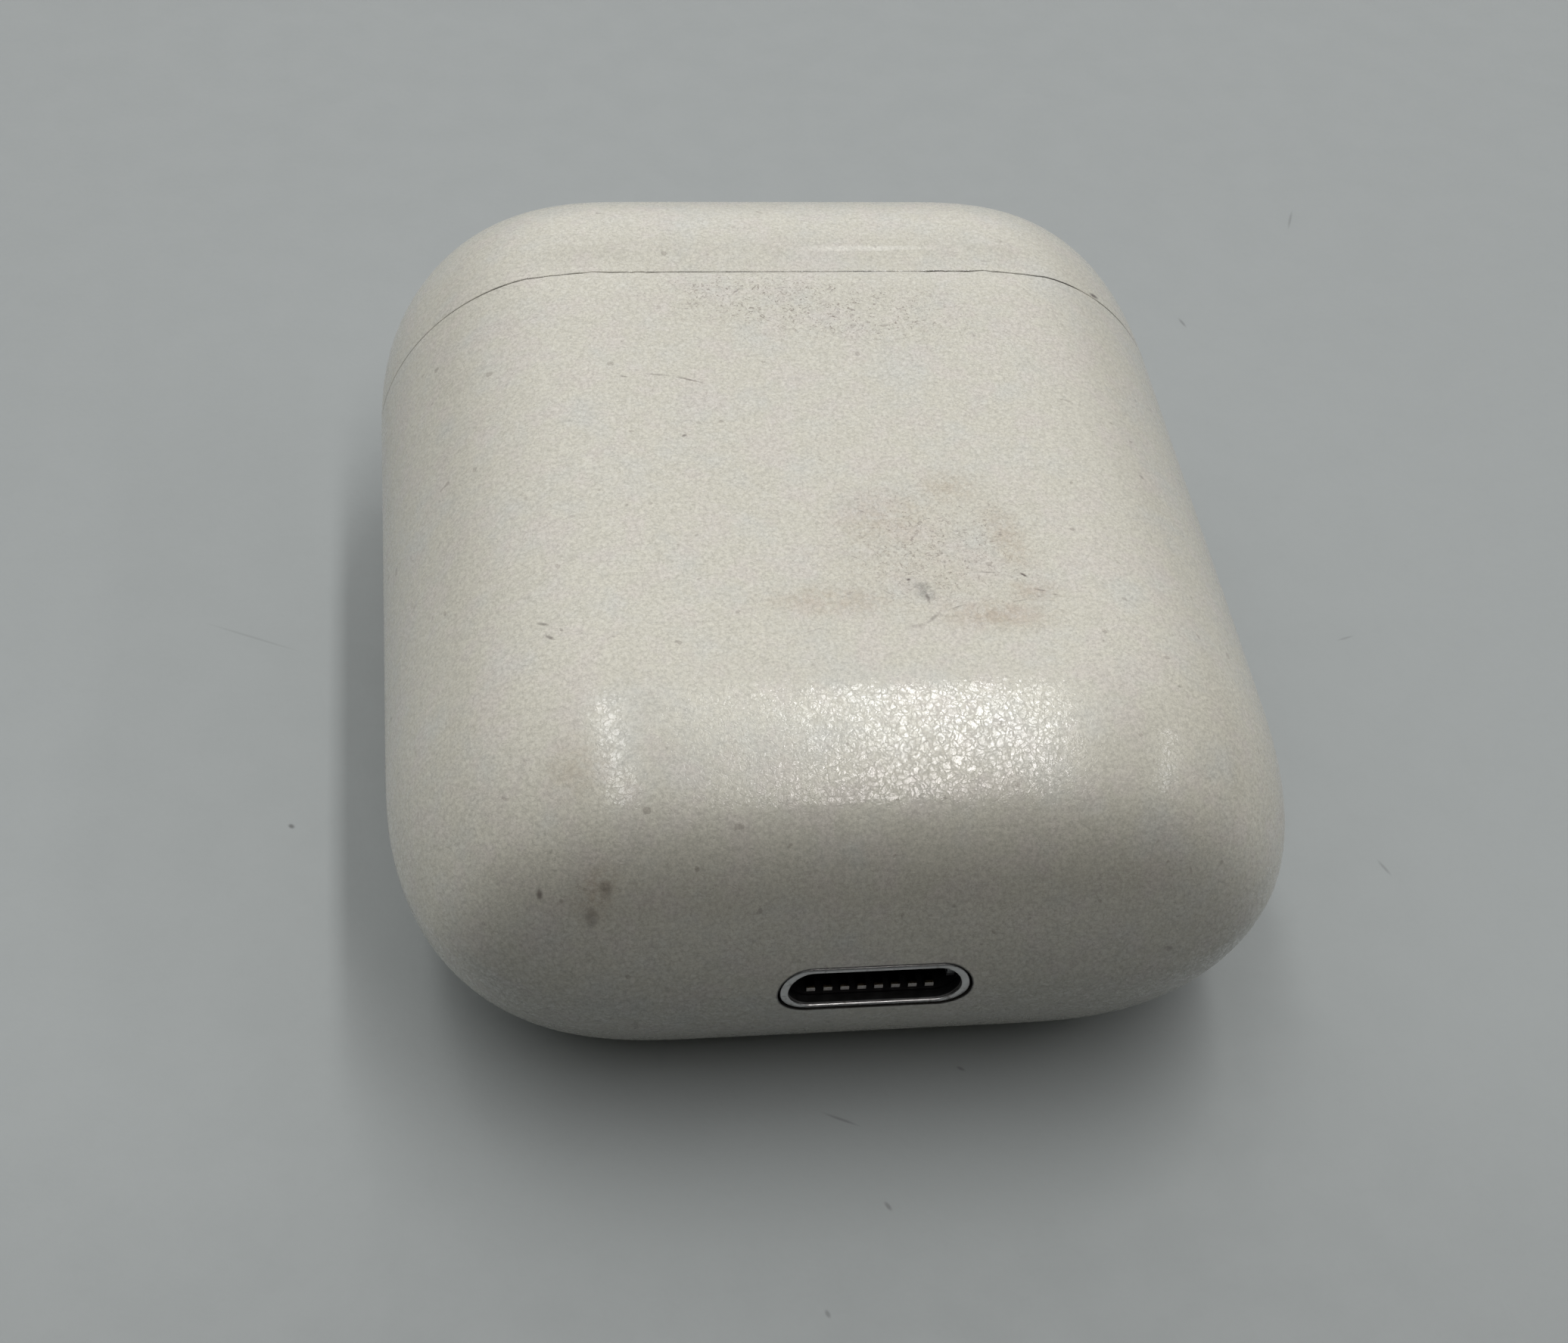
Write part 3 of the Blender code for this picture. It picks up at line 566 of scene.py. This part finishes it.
def white_plastic():
    """The shells' plastic. The last darkening, towards the port end, is painted shade and not dirt."""
    tree = Tree("white_gloss_plastic")
    x, y, z = tree.axes(tree.mm)
    on_front = tree.ramp(z, 12.5, 15.0)
    colour = tree.mix(tree.noise(0.10, 2.0), WHITE_LIGHT, WHITE_WARM)
    colour = tree.mix(tree.ramp(tree.noise(0.32, 3.0, 0.6), 0.45, 0.75, 0.0, 0.5), colour, WHITE_COOL)
    colour = tree.mix(tree.ramp(tree.noise(2.4, 5.0, 0.65), 0.35, 0.75, 0.0, 0.16), colour, WHITE_DULL)
    pearl = tree.noise(0.55, 2.0, 0.6)
    colour = tree.mix(tree.ramp(pearl, 0.45, 0.70, 0.0, 0.6), colour, WHITE_PINK)

    scratches = scratch_layers(tree)
    below_seam = tree.oval((0.5, 10.4), (12.5, 4.0), -10)
    showing = tree.math("MULTIPLY_ADD", below_seam, 0.16, 0.10)
    colour = tree.mix(tree.math("MULTIPLY", scratches, showing), colour, (0.55, 0.53, 0.50))

    stain = tree.most(tree.oval(centre, reach, turn, strength, 0.95)
                      for centre, reach, turn, strength in STAINS)
    mottle = tree.ramp(tree.noise(1.9, 5.0, 0.75), 0.36, 0.60, 0.2, 1.0)
    stain = tree.math("MULTIPLY", tree.math("MULTIPLY", stain, mottle), on_front)
    colour = tree.mix(stain, colour, (0.42, 0.31, 0.20))
    grey_smudge = tree.math("MULTIPLY", tree.oval((3.3, -11.5), (0.8, 1.1), 20, 0.55), mottle)
    colour = tree.mix(grey_smudge, colour, (0.24, 0.25, 0.23))

    curls = tree.ramp(tree.noise(3.0, 3.0, 0.7, distortion=2.0), 0.57, 0.63)
    busy = tree.most((below_seam, tree.oval((4.5, -8.5), (7.5, 7.0), 0, 0.8, 0.8)))
    curls = tree.math("MULTIPLY", tree.math("MULTIPLY", curls, busy), on_front)
    colour = tree.mix(tree.math("MULTIPLY", curls, 0.7), colour, (0.22, 0.17, 0.14))
    # a painted stand-in for the thin reflection above the seam
    painted_seam_highlight = tree.math("MULTIPLY", tree.stroke((-0.2, 15.35), (9.0, 15.45), 0.30, 0.7), on_front)
    colour = tree.mix(painted_seam_highlight, colour, (0.90, 0.88, 0.80))

    marks = tree.most(tree.stroke(start, end, width, darkening) for start, end, width, darkening in SCRATCHES)
    marks = tree.math("MULTIPLY", marks, on_front)
    colour = tree.mix(marks, colour, (0.10, 0.07, 0.06))

    specks = tree.ramp(tree.noise(1.7, 0.0, 0.0), 0.80, 0.84)
    colour = tree.mix(tree.math("MULTIPLY", specks, 0.35), colour, (0.25, 0.21, 0.18))

    seam_distance = tree.math("ABSOLUTE", tree.math("SUBTRACT", y, SEAM_Y / MM))
    worn_seam = tree.math("MULTIPLY", tree.ramp(tree.noise(0.3, 3.0, 0.7), 0.38, 0.62, 0.25, 1.0),
                          tree.ramp(x, -17.5, -15.0, 0.3, 1.0))
    seam_dirt = tree.math("MULTIPLY", tree.ramp(seam_distance, 0.03, 0.10, 0.9, 0.0), worn_seam)
    colour = tree.mix(seam_dirt, colour, (0.05, 0.04, 0.035))
    # painted shade: the skin is painted near black on the walls of the port's hole and a thin band round it,
    # in the gap round the trim ring
    port_gap_painted_shade = tree.math("MULTIPLY", tree.ramp(port_distance(tree), 0.01, 0.10, 0.95, 0.0),
                          tree.ramp(y, -20.0, -22.0))
    colour = tree.mix(port_gap_painted_shade, colour, (0.02, 0.018, 0.016))

    crackle = crackle_distance(tree)
    grain = tree.ramp(tree.noise(5.5, 4.0, 0.8), 0.3, 0.7, 0.80, 1.12)
    grain = tree.math("MULTIPLY", grain, tree.ramp(crackle, 0.0, 0.10, 0.91, 1.01))
    # painted shade: the plastic is made darker towards the port end
    port_end_painted_shade = tree.ramp(y, -21.5, -25.5, 1.0, 0.55)
    colour = tree.mix(1.0, colour, tree.grey(tree.math("MULTIPLY", grain, port_end_painted_shade)), "MULTIPLY")

    roughness = tree.ramp(tree.noise(0.7, 4.0, 0.6), 0.3, 0.7, 0.24, 0.34)
    roughness = tree.math("ADD", roughness, tree.math("MULTIPLY", scratches, 0.15), clamp=True)
    creases = tree.ramp(crackle, 0.0, 0.12)
    worms = tree.noise(3.6, 3.0, 0.6, distortion=0.6)
    height = tree.math("ADD", tree.math("MULTIPLY", worms, 0.009), tree.math("MULTIPLY", creases, 0.0020))
    sparkle = tree.ramp(tree.noise(2.8, 3.0, 0.7), 0.40, 0.60, 0.20, 1.0)
    coat = tree.math("MULTIPLY", tree.ramp(crackle, 0.0, 0.20, 0.10, 1.0), sparkle)
    return tree.finish(colour, roughness, tree.bump(height, 1.0), coat=coat, Coat_Roughness=0.08,
                       Coat_IOR=1.6, IOR=1.5)


# The other finishes

def satin_plastic():
    tree = Tree("white_satin_plastic")
    colour = tree.mix(tree.noise(0.15, 3.0), (0.80, 0.79, 0.76), (0.76, 0.75, 0.715))
    colour = tree.mix(tree.ramp(tree.noise(0.8, 4.0, 0.6), 0.5, 0.8, 0.0, 0.25), colour, (0.62, 0.60, 0.56))
    roughness = tree.ramp(tree.noise(1.2, 3.0), 0.3, 0.7, 0.38, 0.52)
    return tree.finish(colour, roughness, tree.bump(tree.noise(9.0, 2.0), 0.006))


def brushed_steel():
    tree = Tree("brushed_steel")
    grain = tree.noise(1.0, 3.0, 0.6, tree.stretch(0, (0.5, 18, 18)))
    colour = tree.mix(grain, (0.66, 0.66, 0.67), (0.52, 0.52, 0.53))
    roughness = tree.ramp(grain, 0.3, 0.7, 0.24, 0.42)
    return tree.finish(colour, roughness, tree.bump(grain, 0.003), Metallic=1.0)


def port_trim():
    tree = Tree("port_trim")
    wear = tree.noise(1.6, 4.0, 0.65)
    colour = tree.mix(wear, (0.60, 0.60, 0.60), (0.44, 0.43, 0.42))
    grime = tree.ramp(tree.noise(3.5, 3.0, 0.6), 0.55, 0.75, 0.0, 0.6)
    colour = tree.mix(grime, colour, (0.16, 0.14, 0.12))
    y = tree.axes(tree.mm)["Y"]
    # painted shade: the ring's inner wall, from just behind its face, is painted near black and not metallic
    inside = tree.ramp(y, RING_DARK_Y - 0.06, RING_DARK_Y, 0.0, 1.0)
    colour = tree.mix(inside, colour, (0.006, 0.006, 0.006))
    roughness = tree.ramp(wear, 0.3, 0.7, 0.28, 0.45)
    metallic = tree.math("SUBTRACT", 1.0, inside)
    return tree.finish(colour, roughness, tree.bump(tree.noise(12.0, 2.0), 0.004), metallic=metallic)


def black_plastic():
    tree = Tree("black_plastic")
    colour = tree.mix(tree.noise(1.2, 4.0, 0.6), (0.006, 0.006, 0.007), (0.014, 0.013, 0.013))
    roughness = tree.ramp(tree.noise(2.0, 3.0), 0.3, 0.7, 0.4, 0.62)
    return tree.finish(colour, roughness, tree.bump(tree.noise(14.0, 2.0), 0.004), Specular_IOR_Level=0.2)


def gold():
    tree = Tree("gold_contacts")
    wear = tree.noise(4.5, 4.0, 0.7)
    colour = tree.mix(wear, (0.86, 0.68, 0.36), (0.70, 0.60, 0.42))
    colour = tree.mix(tree.ramp(tree.noise(2.6, 3.0, 0.7), 0.5, 0.66, 0.0, 0.6), colour, (0.20, 0.17, 0.13))
    y = tree.axes(tree.mm)["Y"]
    # painted shade: the contacts are painted near black behind their front ends, deep in the port
    tips = tree.ramp(y, PORT_MOUTH_Y + 0.10, PORT_MOUTH_Y + 0.22)
    contacts_painted_shade = tree.math("MULTIPLY", tips, tree.ramp(y, -20.0, -19.0, 1.0, 0.0))
    colour = tree.mix(contacts_painted_shade, colour, (0.012, 0.010, 0.008))
    roughness = tree.ramp(wear, 0.3, 0.7, 0.18, 0.4)
    # painted highlight: the contacts' front ends are painted pale grey and not metallic, standing in for
    # glints
    painted_tip_glint = tree.math("MULTIPLY", tree.ramp(y, PORT_MOUTH_Y + 0.06, PORT_MOUTH_Y + 0.02), 0.85)
    colour = tree.mix(painted_tip_glint, colour, (0.80, 0.80, 0.80))
    metallic = tree.math("SUBTRACT", 1.0, painted_tip_glint)
    return tree.finish(colour, roughness, tree.bump(tree.noise(11.0, 2.0), 0.005), metallic=metallic)


def nickel():
    tree = Tree("magnets")
    wear = tree.noise(1.1, 4.0, 0.6)
    colour = tree.mix(wear, (0.58, 0.57, 0.55), (0.42, 0.41, 0.40))
    return tree.finish(colour, tree.ramp(wear, 0.3, 0.7, 0.16, 0.34), tree.bump(wear, 0.004), Metallic=1.0)


def circuit_board():
    tree = Tree("circuit_board")
    tracks = tree.ramp(tree.noise(0.9, 0.0, 0.5, tree.stretch(0, (3.2, 0.35, 1))), 0.52, 0.56)
    colour = tree.mix(tracks, (0.012, 0.075, 0.038), (0.030, 0.150, 0.075))
    colour = tree.mix(tree.noise(2.0, 3.0), colour, (0.015, 0.085, 0.045))
    return tree.finish(colour, tree.ramp(tracks, 0, 1, 0.42, 0.32), tree.bump(tracks, 0.02))


def flex_circuit():
    tree = Tree("flex_circuit")
    tracks = tree.ramp(tree.noise(1.0, 0.0, 0.5, tree.stretch(0, (5.0, 0.08, 0.08))), 0.48, 0.54)
    colour = tree.mix(tracks, (0.34, 0.15, 0.035), (0.50, 0.24, 0.07))
    return tree.finish(colour, tree.ramp(tree.noise(1.5, 3.0), 0.3, 0.7, 0.3, 0.48), tree.bump(tracks, 0.012))


def battery_wrap():
    tree = Tree("battery_wrap")
    creases = tree.noise(0.5, 4.0, 0.6, distortion=1.2)
    colour = tree.mix(creases, (0.085, 0.085, 0.095), (0.13, 0.13, 0.14))
    return tree.finish(colour, tree.ramp(creases, 0.3, 0.7, 0.36, 0.56), tree.bump(creases, 0.12))


def light_lens():
    tree = Tree("light_lens")
    colour = tree.mix(tree.noise(1.5, 3.0), (0.86, 0.86, 0.83), (0.78, 0.78, 0.74))
    return tree.finish(colour, tree.ramp(tree.noise(3.0, 2.0), 0.3, 0.7, 0.14, 0.26),
                       tree.bump(tree.noise(8.0, 2.0), 0.003), Transmission_Weight=0.35)


FINISHES = {
    "white_gloss_plastic": white_plastic(),
    "white_satin_plastic": satin_plastic(),
    "brushed_steel": brushed_steel(),
    "port_trim": port_trim(),
    "black_plastic": black_plastic(),
    "gold_contacts": gold(),
    "magnets": nickel(),
    "circuit_board": circuit_board(),
    "flex_circuit": flex_circuit(),
    "battery_wrap": battery_wrap(),
    "light_lens": light_lens(),
}


def stand_for(obj, node, body):
    """Puts obj in a CAD node's place, with its body, slot and finish."""
    slot = node_slot(node)
    obj.data.materials.clear()
    obj.data.materials.append(FINISHES[slot])
    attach(obj, body)
    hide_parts(node)


def finish_cad_nodes(replaced):
    """Gives each CAD node that still shows its slot's procedural finish."""
    for name, node in frame["nodes"].items():
        if name not in replaced:
            node.data.materials.clear()
            node.data.materials.append(FINISHES[node_slot(name)])


# Shells

def hinge_cut(node, side):
    """The opening in a shell's back wall for its half of the hinge."""
    low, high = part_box(node)
    reach = SEAM_Y - low.y if side < 0 else high.y - SEAM_Y
    start, end = sorted((SEAM_Y - side * CUT_PAST, SEAM_Y + side * (reach + FIT_GAP)))
    return box_tool((low.x - FIT_GAP, start, -CUT_PAST), (high.x + FIT_GAP, end, WALL + 0.3 * MM))


def make_body():
    body = shell_half("body_skin", -1)
    ring_low, ring_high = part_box("port_trim_ring")
    hole_width = ring_high.x - ring_low.x + 2 * RING_GAP
    hole_height = ring_high.z - ring_low.z + 2 * RING_GAP
    cut(body, stadium_tool((0, -HALF_Y, MID_Z), hole_width, hole_height, 8 * MM))
    cap_low, cap_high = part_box("setup_button")
    button_y = (cap_low.y + cap_high.y) / 2
    cut(body, rod_tool((0, button_y, 0.5 * MM), BUTTON_HOLE, 4 * MM))
    cut(body, hinge_cut("hinge_plate", -1))
    cut(body, box_tool((-RELIEF_HALF, SEAM_Y - RELIEF_REACH, -CUT_PAST),
                       (RELIEF_HALF, SEAM_Y + CUT_PAST, HINGE_Z + HINGE_CLEARANCE)))
    stand_for(body, "body_shell", "case")
    smooth(body)


def make_lid():
    lid = shell_half("lid_skin", 1)
    cut(lid, hinge_cut("lid_hinge_leaf", 1))
    stand_for(lid, "lid_shell", "lid")
    smooth(lid)


# Port trim ring

def skin_y(z):
    """The skin's Y at the middle of the port end, at height z."""
    share = (abs(z - MID_Z) / HALF_Z) ** EDGE_POWER_Z
    return -HALF_Y + EDGE_DEPTH_Y * (1 - (1 - share) ** (1 / EDGE_POWER_IN))


def make_ring():
    """A band whose face follows the skin, just under it, with rounded edges."""
    low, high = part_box("port_trim_ring")
    width, height = high.x - low.x, high.z - low.z
    steps = ((0.0, None), (0.0, 0.14), (0.04, 0.09), (0.14, 0.06), (0.90, 0.06), (0.97, 0.08), (1.0, 0.12),
             (1.0, None))
    build = bmesh.new()
    loops = []
    for share, depth in steps:
        loop_width = width - 2 * RING_SIDE * share
        loop_height = height - 2 * RING_TOP * share
        radius = loop_height / 2
        loop = []
        for index in range(2 * RING_POINTS):
            side = 1 if index < RING_POINTS else -1
            angle = math.pi * (index % RING_POINTS) / (RING_POINTS - 1) - math.pi / 2
            x = side * (loop_width / 2 - radius + radius * math.cos(angle))
            z = MID_Z + side * radius * math.sin(angle)
            y = high.y if depth is None else skin_y(z) + depth * MM
            loop.append(build.verts.new((x, y, z)))
        loops.append(loop)
    for first, second in zip(loops, loops[1:] + loops[:1]):
        for index in range(2 * RING_POINTS):
            after = (index + 1) % (2 * RING_POINTS)
            build.faces.new((first[index], first[after], second[after], second[index]))
    bmesh.ops.recalc_face_normals(build, faces=build.faces)
    mesh = bpy.data.meshes.new("trim_ring")
    build.to_mesh(mesh)
    build.free()
    ring = new_object("trim_ring", mesh)
    stand_for(ring, "port_trim_ring", "case")
    smooth(ring, 50)


# Stage: floor, light and camera

FLOOR_LIGHT = (0.375, 0.400, 0.402)
FLOOR_DARK = (0.360, 0.385, 0.388)

# start, end, width, darkening, in millimetres on the floor
FLOOR_LINT = (
    ((-27.4, -6.6), (-27.3, -6.7), 0.20, 0.70),
    ((-33.0, 9.0), (-26.5, 6.0), 0.12, 0.16),
    ((31.5, -11.8), (32.0, -13.0), 0.14, 0.30),
    ((34.0, 5.0), (35.2, 5.4), 0.12, 0.25),
    ((31.5, 36.0), (31.8, 35.0), 0.16, 0.40),
    ((42.0, 46.0), (43.0, 48.5), 0.14, 0.30),
    ((1.0, -31.5), (1.2, -31.9), 0.16, 0.45),
    ((-2.6, -37.0), (-2.5, -37.3), 0.16, 0.45),
    ((-1.5, -26.2), (0.5, -27.2), 0.12, 0.35),
    ((5.8, -24.0), (6.1, -24.2), 0.14, 0.40),
)


def floor_paint():
    """The floor's finish, with painted shade that makes it a little darker towards the camera's side."""
    tree = Tree("floor_paint")
    colour = tree.mix(tree.noise(0.012, 3.0), FLOOR_LIGHT, FLOOR_DARK)
    colour = tree.mix(tree.ramp(tree.noise(1.5, 5.0, 0.7), 0.4, 0.8, 0.0, 0.10), colour, (0.30, 0.31, 0.31))
    y = tree.axes(tree.mm)["Y"]
    # painted shade: darker towards the camera's side
    colour = tree.mix(1.0, colour, tree.grey(tree.ramp(y, -20.0, -44.0, 1.0, 0.89)), "MULTIPLY")
    lint = tree.most(tree.stroke(start, end, width, darkening) for start, end, width, darkening in FLOOR_LINT)
    colour = tree.mix(lint, colour, (0.08, 0.08, 0.08))
    roughness = tree.ramp(tree.noise(0.3, 4.0), 0.3, 0.7, 0.48, 0.6)
    return tree.finish(colour, roughness, tree.bump(tree.noise(3.0, 4.0), 0.01))


def make_floor():
    """A flat floor. As the lid opens it swings below the back face, and the floor steps down to clear it."""
    build = bmesh.new()
    bmesh.ops.create_grid(build, x_segments=1, y_segments=1, size=1.2)
    mesh = bpy.data.meshes.new("floor")
    build.to_mesh(mesh)
    build.free()
    mesh.materials.append(floor_paint())
    floor = new_object("floor", mesh)
    step = floor.constraints.new("TRANSFORM")
    step.target = frame["bodies"]["lid"]
    step.map_from = "LOCATION"
    step.from_max_z = LID_RISE
    step.map_to = "LOCATION"
    step.map_to_z_from = "Z"
    step.to_max_z = -FLOOR_STEP
    step.mix_mode = "ADD"


PANEL_HEIGHT = 1.2
SKY_POWER = 5.0

# towards, level
SKY_LOBES = (
    ((0.10, 0.90, 0.45), 0.96),
    ((-0.65, 0.30, 0.70), 0.68),
    ((0.15, 0.50, 0.85), 0.20),
    ((0.70, 0.30, 0.65), 0.15),
)

# name, slopes in x, slopes in y, glow, colour
PANELS = (
    ("panel_near", (0.185, 0.280), (-0.80, -0.45), 8.5, (1.0, 0.95, 0.93)),
    ("panel_middle_near", (0.185, 0.275), (-0.45, -0.10), 11.0, (1.0, 0.97, 0.96)),
    ("panel_middle_far", (0.18, 0.27), (-0.10, 0.25), 12.0, (1.0, 1.0, 0.98)),
    ("panel_far", (0.18, 0.27), (0.25, 0.58), 10.5, (1.0, 1.0, 0.98)),
    ("panel_left", (-0.30, -0.16), (-0.67, 0.50), 4.6, (1.0, 1.0, 0.98)),
    ("panel_right", (1.00, 1.17), (-0.70, 0.14), 4.0, (1.0, 1.0, 1.0)),
)


def panel(name, slope_x, slope_y, glow, colour):
    """A level lamp overhead. The slopes are those of the rays from the case to its edges."""
    size_x = (slope_x[1] - slope_x[0]) * PANEL_HEIGHT
    size_y = (slope_y[1] - slope_y[0]) * PANEL_HEIGHT
    light = bpy.data.lights.new(name, "AREA")
    light.shape = "RECTANGLE"
    light.size = size_x
    light.size_y = size_y
    light.energy = glow * math.pi * size_x * size_y
    light.color = colour
    obj = bpy.data.objects.new(name, light)
    obj.location = (sum(slope_x) / 2 * PANEL_HEIGHT, sum(slope_y) / 2 * PANEL_HEIGHT, PANEL_HEIGHT)
    bpy.context.scene.collection.objects.link(obj)


def make_sky():
    """A soft sky, brightest behind the case and to its left, and dark on the camera's side."""
    world = bpy.data.worlds.new("room")
    bpy.context.scene.world = world
    world.use_nodes = True
    nodes, links = world.node_tree.nodes, world.node_tree.links
    place = nodes.new("ShaderNodeTexCoord")
    total = None
    for towards, level in SKY_LOBES:
        facing = nodes.new("ShaderNodeVectorMath")
        facing.operation = "DOT_PRODUCT"
        facing.inputs[1].default_value = Vector(towards).normalized()
        links.new(place.outputs["Generated"], facing.inputs[0])
        positive = nodes.new("ShaderNodeMath")
        positive.operation = "MAXIMUM"
        positive.inputs[1].default_value = 0.0
        links.new(facing.outputs["Value"], positive.inputs[0])
        lobe = nodes.new("ShaderNodeMath")
        lobe.operation = "POWER"
        lobe.inputs[1].default_value = SKY_POWER
        links.new(positive.outputs[0], lobe.inputs[0])
        add = nodes.new("ShaderNodeMath")
        add.operation = "MULTIPLY_ADD"
        add.inputs[1].default_value = level
        add.inputs[2].default_value = 0.0
        links.new(lobe.outputs[0], add.inputs[0])
        if total:
            links.new(total, add.inputs[2])
        total = add.outputs[0]
    links.new(total, nodes["Background"].inputs["Strength"])
    nodes["Background"].inputs["Color"].default_value = (1, 1, 1, 1)


def make_lights():
    make_sky()
    for name, slope_x, slope_y, glow, colour in PANELS:
        panel(name, slope_x, slope_y, glow, colour)


def make_camera():
    yaw, pitch, roll = CAMERA_YAW, CAMERA_PITCH, CAMERA_ROLL
    forward = Vector((math.sin(yaw) * math.cos(pitch), math.cos(yaw) * math.cos(pitch), -math.sin(pitch)))
    level = Vector((math.cos(yaw), -math.sin(yaw), 0))
    upright = Vector((math.sin(yaw) * math.sin(pitch), math.cos(yaw) * math.sin(pitch), math.cos(pitch)))
    right = level * math.cos(roll) + upright * math.sin(roll)
    up = upright * math.cos(roll) - level * math.sin(roll)
    data = bpy.data.cameras.new("camera")
    data.lens = CAMERA_LENS
    data.sensor_width = 36
    data.clip_start = 0.001
    camera = bpy.data.objects.new("camera", data)
    camera.matrix_world = Matrix((
        (right.x, up.x, -forward.x, CAMERA_POINT.x),
        (right.y, up.y, -forward.y, CAMERA_POINT.y),
        (right.z, up.z, -forward.z, CAMERA_POINT.z),
        (0, 0, 0, 1)))
    bpy.context.scene.collection.objects.link(camera)
    bpy.context.scene.camera = camera


make_camera()
make_body()
make_lid()
make_ring()
finish_cad_nodes({"body_shell", "lid_shell", "port_trim_ring"})
make_floor()
make_lights()
bpy.context.scene.view_settings.view_transform = "Standard"
